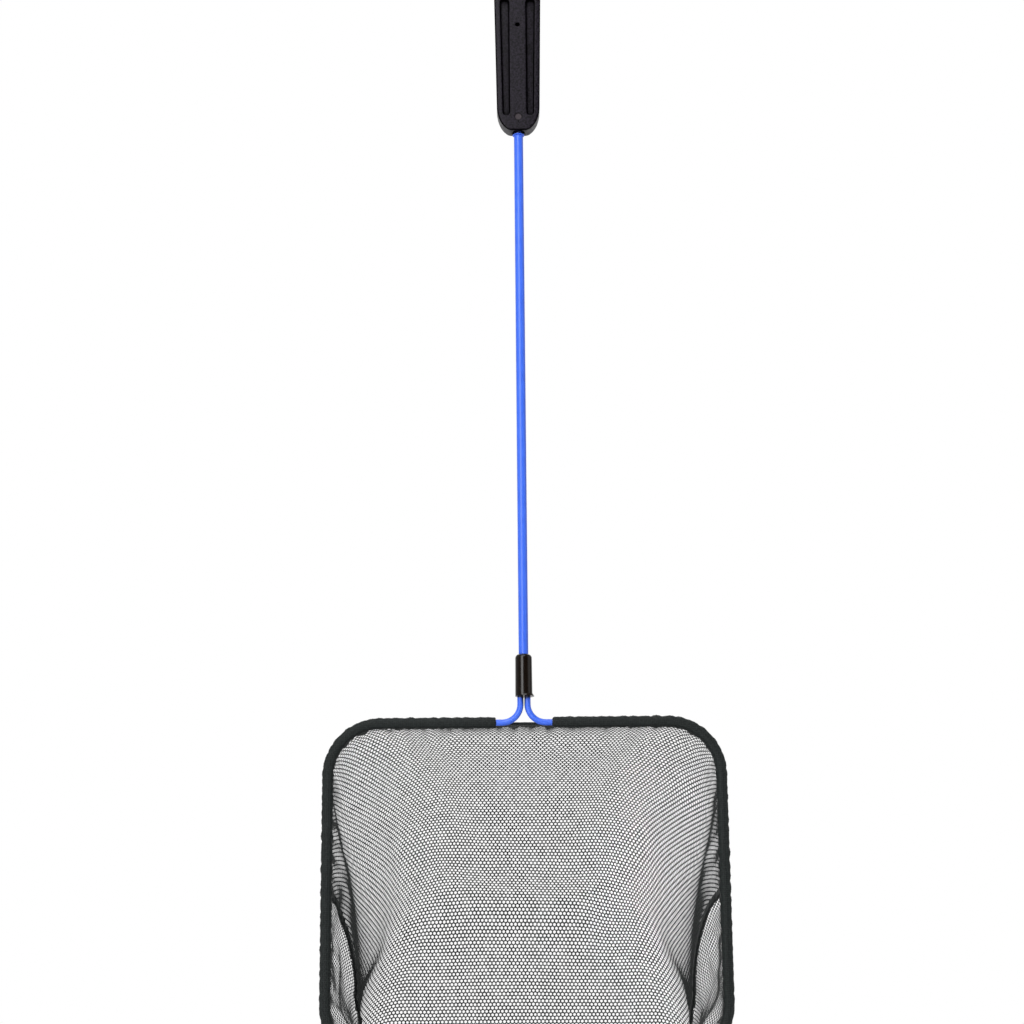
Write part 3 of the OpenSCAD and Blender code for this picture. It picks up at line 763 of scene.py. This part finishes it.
def draped(side, across, depth, lift=0.0):
    """A point of the hanging bag, with the hem's gathers, lifted off the cloth by a small height."""
    place, outward = bag_point(side, across, depth)
    share = across / half_girth(depth)
    mouth_place = share * half_girth(0)
    seam_distance = mouth_place if side > 0 else loop_length / 2 - mouth_place
    from_hem = depth * BAG_REACH
    pucker = (GATHER_HEIGHT * hem_gather(seam_distance) * np.exp(-from_hem / GATHER_FADE)
              + PUCKER_HEIGHT * hem_pucker(seam_distance) * np.exp(-from_hem / PUCKER_FADE))
    return place + shift_at(side, share, depth) + outward * (pucker + lift)[..., None]


print("the fold's middle hangs at, in mm:", np.round(draped(1, np.zeros(1), np.ones(1))[0] / MM, 1))

# %% [markdown]
# ## The honeycomb
# The net is knitted, and its holes have six sides. A see-through pattern on a plain sheet would look
# flat from near, so the threads are real geometry. Picture a honeycomb laid flat on the cloth: its lines
# are the threads. It is laid out at its real size, so that the cells keep their size where the bag
# narrows and are cut off at the side seams, as in a real panel. Its rows are fitted to the panel's
# length, halfway between middle and seam, so that the last row lies on the fold.

# %% Lay out the honeycomb
HOLE_PITCH = 1.6 * MM
TUCK_UNDER_TAPE = 0.7 * MM
MEASURING_POINTS = 400


def path_lengths(points):
    """The length along a line of points, from the first one to each."""
    return np.concatenate([[0], np.cumsum(np.linalg.norm(np.diff(points, axis=0), axis=1))])


def depth_lengths(side):
    """Shares of a panel's depth, and the cloth length from the hem to each."""
    depth = np.linspace(0, 1, MEASURING_POINTS)
    return depth, path_lengths(bag_point(side, half_girth(depth) / 2, depth)[0])


def honeycomb(length, half_width_at):
    """The cells that fit on a panel, each as twice its place in its row and the row, and the row pitch."""
    rows = np.arange(round(length / (HOLE_PITCH * math.sqrt(3) / 2)) + 1)
    row_pitch = length / rows[-1]
    widest = int(half_width_at(np.linspace(0, length, MEASURING_POINTS)).max() / HOLE_PITCH) + 2
    row, place = np.meshgrid(rows, np.arange(-widest, widest + 1), indexing="ij")
    twice = 2 * place + row % 2
    kept = np.abs(twice * HOLE_PITCH / 2) < half_width_at(row * row_pitch) - TUCK_UNDER_TAPE
    return np.stack([twice[kept], row[kept]], -1), row_pitch


for side, label in ((1, "upper"), (-1, "lower")):
    print(label, "panel from hem to fold, in mm:", round(float(depth_lengths(side)[1][-1]) / MM, 1))

# %% [markdown]
# ## Thread by thread
# A round tube along each thread would take many more faces than one can see. Each cell is a ring of six
# quads between the honeycomb's corners and the smaller hole inside. Corners stand a little higher than
# the holes' edges, which gives the thread its round back, and both vary a little, as in a knit. Corners
# are counted in steps of half a cell across and a third of a row along, so that neighbours share them.

# %% Helpers for the netting
HOLE_WIDTH = 1.1 * MM
HOLE_SHARES = (0.93, 1.06)
CORNER_WANDER = 0.03 * MM
CORNER_STEPS = np.array([(1, 1), (0, 2), (-1, 1), (-1, -1), (0, -2), (1, -1)])
THREAD_BACK = 0.10 * MM
THREAD_EDGE = -0.07 * MM


def net_mesh(cells, row_pitch, dice):
    """Flat points of the threads, how far each is lifted, and the quads between them."""
    keys = (cells * (1, 3))[:, None] + CORNER_STEPS
    corners, numbers = np.unique(keys.reshape(-1, 2), axis=0, return_inverse=True)
    numbers = numbers.reshape(-1, 6)
    junctions = corners * (HOLE_PITCH / 2, row_pitch / 3) + dice.normal(0, CORNER_WANDER, corners.shape)
    hole = HOLE_WIDTH / math.sqrt(3) * dice.uniform(*HOLE_SHARES, (len(cells), 1))
    turns = np.radians(30 + 60 * np.arange(6))
    holes = (junctions[numbers].mean(axis=1)[:, None]
             + np.stack([np.cos(turns), np.sin(turns)], -1) * hole[..., None])
    inner = len(junctions) + np.arange(numbers.size).reshape(-1, 6)
    quads = np.stack([numbers, np.roll(numbers, -1, 1), np.roll(inner, -1, 1), inner], -1)
    lift = np.repeat([THREAD_BACK, THREAD_EDGE], [len(junctions), numbers.size])
    return np.concatenate([junctions, holes.reshape(-1, 2)]), lift, quads.reshape(-1, 4)


def new_piece(name, points, faces, finish):
    """A mesh piece with one finish that rides on the net's one body."""
    mesh = bpy.data.meshes.new(name)
    mesh.from_pydata(np.asarray(points).tolist(), [], faces)
    mesh.materials.append(finish)
    mesh.polygons.foreach_set("use_smooth", [True] * len(mesh.polygons))
    mesh.update()
    piece = in_scene(name, mesh)
    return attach(piece, "root")

# %% [markdown]
# ## The two panels
# The flat honeycomb is carried onto the hanging bag. Each panel also gets a map for baking its finish,
# from each point's place on the flat cloth. The dye varies in soft patches, and a fine noise makes the
# thread look spun.

# %% Netting
BAKE_MARGIN = 0.005

netting = new_finish("netting", (0.011, 0.014, 0.0135), roughness=0.55, Specular_IOR_Level=0.3,
                     Sheen_Weight=0.06, Sheen_Roughness=0.4)
spot = in_place(netting)
dye = noise(netting, spot, grain=18 * MM, detail=3)
fibre = noise(netting, spot, grain=0.12 * MM, detail=1)
feed(netting, "Base Color", colour_between(netting, dye, (0.009, 0.0115, 0.011), (0.014, 0.018, 0.017)))
feed(netting, "Normal", bump(netting, fibre, depth=0.02 * MM, strength=0.5))


def flat_map(piece, places):
    """A bake map from each point's place on the flat cloth, scaled to the unit square."""
    corners = np.empty(len(piece.data.loops), int)
    piece.data.loops.foreach_get("vertex_index", corners)
    low, high = places.min(0), places.max(0)
    unit = BAKE_MARGIN + (1 - 2 * BAKE_MARGIN) * (places - low) / (high - low)
    piece.data.uv_layers.new(name="OFBake").data.foreach_set("uv", unit[corners].ravel())


def net_panel(label, side, seed):
    """One panel of netting, the size it was cut to, and the area of its cells."""
    depth, lengths = depth_lengths(side)
    depth_at = lambda along: np.interp(along, lengths, depth)
    cells, row_pitch = honeycomb(lengths[-1], lambda along: half_girth(depth_at(along)))
    flat, lift, faces = net_mesh(cells, row_pitch, np.random.default_rng(seed))
    faces = faces if side > 0 else faces[:, ::-1]
    points = draped(side, flat[:, 0], depth_at(flat[:, 1]), lift)
    panel = new_piece(f"{label}_netting", points, faces.tolist(), netting)
    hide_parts(f"net_{label}_panel")
    flat_map(panel, flat)
    cut = (2 * half_girth(0), lengths[-1])
    print(panel.name, "cells:", len(cells), "cut in mm:", [round(length / MM, 1) for length in cut])
    return panel, cut, len(cells) * HOLE_PITCH * row_pitch


panels = {"upper": net_panel("upper", side=1, seed=11), "lower": net_panel("lower", side=-1, seed=12)}

# %% [markdown]
# ## The hem's section
# The hem is a strip of closely knitted cloth, folded round the wire and sewn to itself behind it, with
# the netting's edge between its two layers. In section it looks like a keyhole seen from the side: a
# tube round the wire and a flat tail. Its knit is a pattern of slightly uneven cells.

# %% Hem section and cloth
HEM_TUBE = 2.1 * MM
HEM_HALF_TAIL = 0.6 * MM
HEM_DEPTH = 12 * MM
TAIL_START = 2.6 * MM
REAR_ROUNDING = 0.3 * MM
REAR_SHARE = 0.7
TUBE_POINTS = 22
TAIL_POINTS = 9
KNIT_PITCH = 0.75 * MM

leave = math.asin(HEM_HALF_TAIL / HEM_TUBE)
round_wire = [(HEM_TUBE * math.sin(turn), HEM_TUBE * math.cos(turn))
              for turn in np.linspace(-leave, -2 * math.pi + leave, TUBE_POINTS)]
tail = [(HEM_HALF_TAIL, back) for back in np.linspace(TAIL_START, HEM_DEPTH - REAR_ROUNDING, TAIL_POINTS)]
rear = [(HEM_HALF_TAIL * REAR_SHARE, HEM_DEPTH), (-HEM_HALF_TAIL * REAR_SHARE, HEM_DEPTH)]
hem_outline = np.array([*round_wire, *tail, *rear, *[(-out, back) for out, back in tail[::-1]]])
tail_outline = np.array([(out, back) for out, back in hem_outline if back > HEM_TUBE])

hem_cloth = new_finish("hem_cloth", (0.012, 0.015, 0.0145), roughness=0.62, Specular_IOR_Level=0.2,
                       Sheen_Weight=0.06, Sheen_Roughness=0.4)
cells = add_node(hem_cloth, "TexVoronoi", [("Vector", in_place(hem_cloth)), ("Scale", 1 / KNIT_PITCH),
                                           ("Randomness", 0.35)]).outputs["Distance"]
knit_colour = colour_between(hem_cloth, cells, (0.008, 0.010, 0.010), (0.019, 0.024, 0.023))
knit_relief = ranged(hem_cloth, cells, 0.1, 0.6)
feed(hem_cloth, "Base Color", knit_colour)
feed(hem_cloth, "Normal", bump(hem_cloth, knit_relief, depth=0.12 * MM, strength=0.7))
print("points in the hem's outline:", len(hem_outline))

# %% [markdown]
# ## Cloth carried along a line
# The hem, the tapes and the closing seam are made the same way: a small outline is carried along a line
# and capped. A curve with a bevel makes a plain band with less work. Here each point of the outline is
# asked for by itself, so that gathers, wrinkles and thin ends can be worked in. Cloth ends are turned
# in, so the outline shrinks over the last stretch, like a quarter circle, and the steps are short there.

# %% Helpers for carried outlines
STATION_STEP = 1.0 * MM
END_TURN = 0.8 * MM
END_SHARES = np.array([0, 0.05, 0.2, 0.5])


def fullness(distance, first, last, reach):
    """0 at either end of a seam, and 1 from one reach in, rising like a quarter circle."""
    gap = np.clip(np.minimum(distance - first, last - distance) / reach, 0, 1)
    return np.sqrt(1 - (1 - gap) ** 2)


def carried(name, first, last, outline, point_at):
    """A piece of hem cloth: an outline carried from one place along a seam to another."""
    turn = END_SHARES * END_TURN
    even = np.linspace(first + END_TURN, last - END_TURN, int((last - first) / STATION_STEP))
    places = np.concatenate([first + turn, even, last - turn[::-1]])
    distance = np.repeat(places[:, None], len(outline), axis=1)
    points = point_at(distance, *(np.broadcast_to(part, distance.shape) for part in outline.T))
    numbers = np.arange(distance.size).reshape(distance.shape)
    walls = tube_faces(numbers)[:, [0, 3, 2, 1]].tolist()
    faces = [*walls, numbers[0].tolist(), numbers[-1, ::-1].tolist()]
    return new_piece(name, points.reshape(-1, 3), faces, hem_cloth)

# %% [markdown]
# ## The hem
# Carried round the loop, the section gets gathers that grow towards its rear edge, wrinkles round the
# wire and a slow swelling. It stops short of the two wire legs at the top, and only the thinner tail
# runs on from one side to the other.

# %% Hem
HEM_START = 10.85 * MM
BRIDGE_OVERLAP = 0.5 * MM
WRINKLE_SHARE = 0.07
WRINKLE_LEAN = 1.5
WRINKLE_END = HEM_TUBE + 1 * MM
WRINKLE_FADE = 3 * MM
SWELL_SHARE = 0.1
END_THINNING_SHARE = 0.3
hem_end = loop_length - HEM_START
bridge_end = HEM_START + BRIDGE_OVERLAP
tube_wrinkle = wavering(seed=7, wavelength=5 * MM)
cloth_swell = wavering(seed=8, wavelength=3.1 * MM)


def hem_point(distance, out, back):
    """A point of the hem from its place along the loop, off the wire's plane and behind the wire."""
    place, outward = loop_place(distance)
    near_wire = np.clip((WRINKLE_END - back) / WRINKLE_FADE, 0, 1)
    swell = (1 + WRINKLE_SHARE * tube_wrinkle(distance + WRINKLE_LEAN * back) * near_wire
             + SWELL_SHARE * cloth_swell(distance + back))
    full = fullness(distance, HEM_START, hem_end, END_TURN)
    turned_in = 1 - END_THINNING_SHARE + END_THINNING_SHARE * full
    behind = np.clip((back - HEM_TUBE) / (HEM_DEPTH - HEM_TUBE), 0, 1)
    ripple = behind * (GATHER_HEIGHT * hem_gather(distance) + PUCKER_HEIGHT * hem_pucker(distance))
    x, z = np.moveaxis(place + outward * (out * swell * turned_in + ripple)[..., None], -1, 0)
    return np.stack([x, np.where(back < HEM_TUBE, back * turned_in, back), z], -1)


sleeve = carried("hem_sleeve", HEM_START, hem_end, hem_outline, hem_point)
bridge = carried("hem_bridge", -bridge_end, bridge_end, tail_outline, hem_point)
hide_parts("hem_band")
print("hem faces:", len(sleeve.data.polygons), len(bridge.data.polygons))

# %% [markdown]
# ## Seam tapes
# Where the two panels meet at the sides, their edges are bound with a narrow tape. It follows the edge
# of the settled cloth and turns with it: its outward direction is square to its course and to the
# section's upward direction.

# %% Seam tapes
TAPE_HALF_WIDTH = 1.5 * MM
TAPE_HALF_THICKNESS = 0.6 * MM
TAPE_ROUND_STEPS = 8
COURSE_STEP = 1 * MM
TAPE_SWELL_SHARE = 0.2
TAPE_WANDER = 0.22 * MM
TAPE_LEAN = 0.4
TAPE_SPREAD_SHARE = 0.1
tape_wave = wavering(seed=21, wavelength=5 * MM)
seam_wave = wavering(seed=22, wavelength=6 * MM)

rounding = [(TAPE_HALF_THICKNESS * math.cos(turn),
             TAPE_HALF_WIDTH - TAPE_HALF_THICKNESS + TAPE_HALF_THICKNESS * math.sin(turn))
            for turn in np.linspace(0, math.pi, TAPE_ROUND_STEPS + 1)]
tape_outline = np.array([*rounding, *[(-off, -across) for off, across in rounding]])
seam_depths = 1 - np.linspace(1, 0, MEASURING_POINTS) ** 2
seam_lengths = path_lengths(bag_point(1, half_girth(seam_depths), seam_depths)[0])
seam_length = float(seam_lengths[-1])


def tape_point(hand):
    """A function that finds a point of the seam tape on the bag's right, hand 1, or left, hand -1."""
    def edge_at(distance):
        depth = np.interp(distance, seam_lengths, seam_depths)
        return draped(1, hand * half_girth(depth), depth), bag_section(depth)[1]

    def point(distance, off, across):
        place, up = edge_at(distance)
        up = with_x(np.zeros_like(distance), up)
        course = (edge_at(np.minimum(distance + COURSE_STEP, seam_length))[0]
                  - edge_at(np.maximum(distance - COURSE_STEP, 0))[0])
        outward = hand * np.cross(course, up)
        outward /= np.linalg.norm(outward, axis=-1, keepdims=True)
        push = (off * (1 + TAPE_SWELL_SHARE * tape_wave(distance * hand))
                + TAPE_WANDER * tape_wave(distance + TAPE_LEAN * across))
        spread = across * (1 + TAPE_SPREAD_SHARE * seam_wave(distance))
        return place + outward * push[..., None] + up * spread[..., None]
    return point


HANDS = {"right": 1, "left": -1}
tapes = []
for label, hand in HANDS.items():
    outline = tape_outline[::hand]
    tapes.append(carried(f"seam_tape_{label}", 0, seam_length, outline, tape_point(hand)))
    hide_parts(f"side_seam_{label}")
print("side seam in mm:", round(seam_length / MM, 1))

# %% [markdown]
# ## The closing seam
# At the fold a flat seam closes the bag. It runs straight across, its thick side against the netting,
# and its corners are trimmed round.

# %% Closing seam
SEAM_LENGTH = 5 * MM
SEAM_EDGE = 0.8 * MM
SEAM_CORNER = 5 * MM
CORNER_TRIM_SHARE = 0.75
SEAM_SWELL_SHARE = 0.12
SEAM_WANDER = 0.25 * MM
SEAM_SWAY = 0.35 * MM
SWAY_PACE = 1.3

end_half_width = float(bag_section(1.0)[2])
upper_edge = [(0, 2.7 * MM), (1.2 * MM, 1.6 * MM), (2.4 * MM, 0.95 * MM), (3.6 * MM, SEAM_EDGE),
              (4.7 * MM, SEAM_EDGE), (SEAM_LENGTH, 0.4 * MM)]
seam_outline = np.array([*upper_edge, *[(along, -up) for along, up in upper_edge[::-1]]])


def closing_point(distance, along, up):
    """A point of the seam that closes the bag, from its place across, past the fold, and up."""
    full = fullness(distance, -end_half_width, end_half_width, SEAM_CORNER)
    swell = 1 + SEAM_SWELL_SHARE * seam_wave(distance + along)
    thickness = up * swell * (1 - END_THINNING_SHARE + END_THINNING_SHARE * full)
    along = along * (1 - CORNER_TRIM_SHARE + CORNER_TRIM_SHARE * full)
    reach = along + SEAM_WANDER * tape_wave(distance) * along / SEAM_LENGTH
    sway = SEAM_SWAY * seam_wave(SWAY_PACE * distance) * along / SEAM_LENGTH
    return with_x(distance, fold + fold_along * reach[..., None] + fold_up * (thickness + sway)[..., None])


closing = carried("closing_seam", -end_half_width, end_half_width, seam_outline,
                  closing_point)
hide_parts("end_seam")
print("closing seam in mm:", round(2 * end_half_width / MM, 1))

# %% [markdown]
# ## A row of stitches
# The cloth is sewn with a dark thread. Stitches could be a pattern in the cloth's finish, but real ones
# stand proud and catch the light, so they are geometry. Each is a short piece of thread that rises from
# the cloth, lies on it and dives back in: a small tube, thin at both ends and slightly arched.

# %% Thread and stitches
THREAD_RADIUS = 0.2 * MM
STITCH_ARCH = 0.12 * MM
STITCH_SINK = 0.08 * MM
STITCH_SIDES = 6
STITCH_RINGS = 6
THIN_END_SHARE = 0.06

thread = new_finish("sewing_thread", (0.020, 0.024, 0.023), roughness=0.5, Sheen_Weight=0.1)
spot = in_place(thread)
twist = noise(thread, spot, grain=0.15 * MM, detail=1)
feed(thread, "Normal", bump(thread, twist, depth=0.03 * MM, strength=0.6))
dye = noise(thread, spot, grain=5 * MM)
feed(thread, "Base Color", colour_between(thread, dye, (0.015, 0.018, 0.017), (0.028, 0.033, 0.031)))


def sew(name, starts, ends, outward):
    """One piece that holds a row of stitches, from their ends and the direction away from the cloth."""
    share = np.linspace(0, 1, STITCH_RINGS)[None, :, None]
    axis = (starts[:, None] + (ends - starts)[:, None] * share
            + outward[:, None] * (STITCH_ARCH * np.sin(math.pi * share) - STITCH_SINK))
    forward = (ends - starts) / np.linalg.norm(ends - starts, axis=1, keepdims=True)
    beside = np.cross(outward, forward)
    rise = np.cross(forward, beside)
    turns = np.linspace(0, 2 * math.pi, STITCH_SIDES, endpoint=False)[None, None, :, None]
    ring = np.cos(turns) * beside[:, None, None] + np.sin(turns) * rise[:, None, None]
    arc = np.sin(math.pi * (THIN_END_SHARE + (1 - 2 * THIN_END_SHARE) * share))
    points = axis[:, :, None] + ring * (THREAD_RADIUS * np.sqrt(arc))[..., None]
    one = np.arange(STITCH_RINGS * STITCH_SIDES).reshape(STITCH_RINGS, STITCH_SIDES)
    pattern = [*tube_faces(one).tolist(), one[0, ::-1].tolist(), one[-1].tolist()]
    faces = [[corner + stitch * one.size for corner in face]
             for stitch in range(len(starts)) for face in pattern]
    print(name, "stitches:", len(starts))
    return new_piece(name, points.reshape(-1, 3), faces, thread)

# %% [markdown]
# ## Sewing
# Straight stitches run in two rows round the hem and in one along the closing seam, on both faces of the
# cloth. On the tapes the thread crosses over from edge to edge, as an overlock machine does.

# %% Sewing
STITCH_PITCH = 3.0 * MM
STITCH_LENGTH = 2.3 * MM
FIRST_STITCH = 2 * MM
LAST_STITCH = 4 * MM
HEM_ROWS = {"front": 3.3 * MM, "rear": 10.2 * MM}
CLOSING_ROW = 3.7 * MM
OVERLOCK_PITCH = 1.7 * MM
OVERLOCK_LENGTH = 0.8 * OVERLOCK_PITCH
OVERLOCK_EDGE = 0.85 * TAPE_HALF_WIDTH
LIFT_STEP = 0.2 * MM


def on(point_at, run, off, other):
    """Places on a surface, at distances along its seam and one place in its outline."""
    return point_at(run, np.full_like(run, off), np.full_like(run, other))


def facing(point_at, run, off, other):
    """The direction away from the cloth, from two nearby places on a surface."""
    lifted = on(point_at, run, off + LIFT_STEP, other) - on(point_at, run, off, other)
    return lifted / np.linalg.norm(lifted, axis=-1, keepdims=True)


going_with = {"upper": [sleeve, bridge], "lower": [*tapes, closing]}
run = np.arange(HEM_START + FIRST_STITCH, hem_end - LAST_STITCH, STITCH_PITCH)
for row, back in HEM_ROWS.items():
    for face, out in (("outside", HEM_HALF_TAIL), ("inside", -HEM_HALF_TAIL)):
        starts, ends = (on(hem_point, part, out, back) for part in (run, run + STITCH_LENGTH))
        outward = facing(hem_point, run, out, back) * np.sign(out)
        going_with["upper"].append(sew(f"hem_stitches_{row}_{face}", starts, ends, outward))

run = np.arange(OVERLOCK_PITCH, seam_length - 2 * OVERLOCK_PITCH, OVERLOCK_PITCH)
for label, hand in HANDS.items():
    tape = tape_point(hand)
    starts = on(tape, run, TAPE_HALF_THICKNESS, -OVERLOCK_EDGE)
    ends = on(tape, run + OVERLOCK_LENGTH, TAPE_HALF_THICKNESS, OVERLOCK_EDGE)
    outward = facing(tape, run, TAPE_HALF_THICKNESS, 0)
    going_with["lower"].append(sew(f"tape_stitches_{label}", starts, ends, outward))

run = np.arange(-end_half_width + FIRST_STITCH, end_half_width - LAST_STITCH, STITCH_PITCH)
for face, up in (("upper", 1), ("lower", -1)):
    starts, ends = (on(closing_point, part, CLOSING_ROW, up * SEAM_EDGE)
                    for part in (run, run + STITCH_LENGTH))
    outward = np.broadcast_to(np.array([0, *fold_up]) * up, (len(run), 3))
    going_with["lower"].append(sew(f"closing_stitches_{face}", starts, ends, outward))
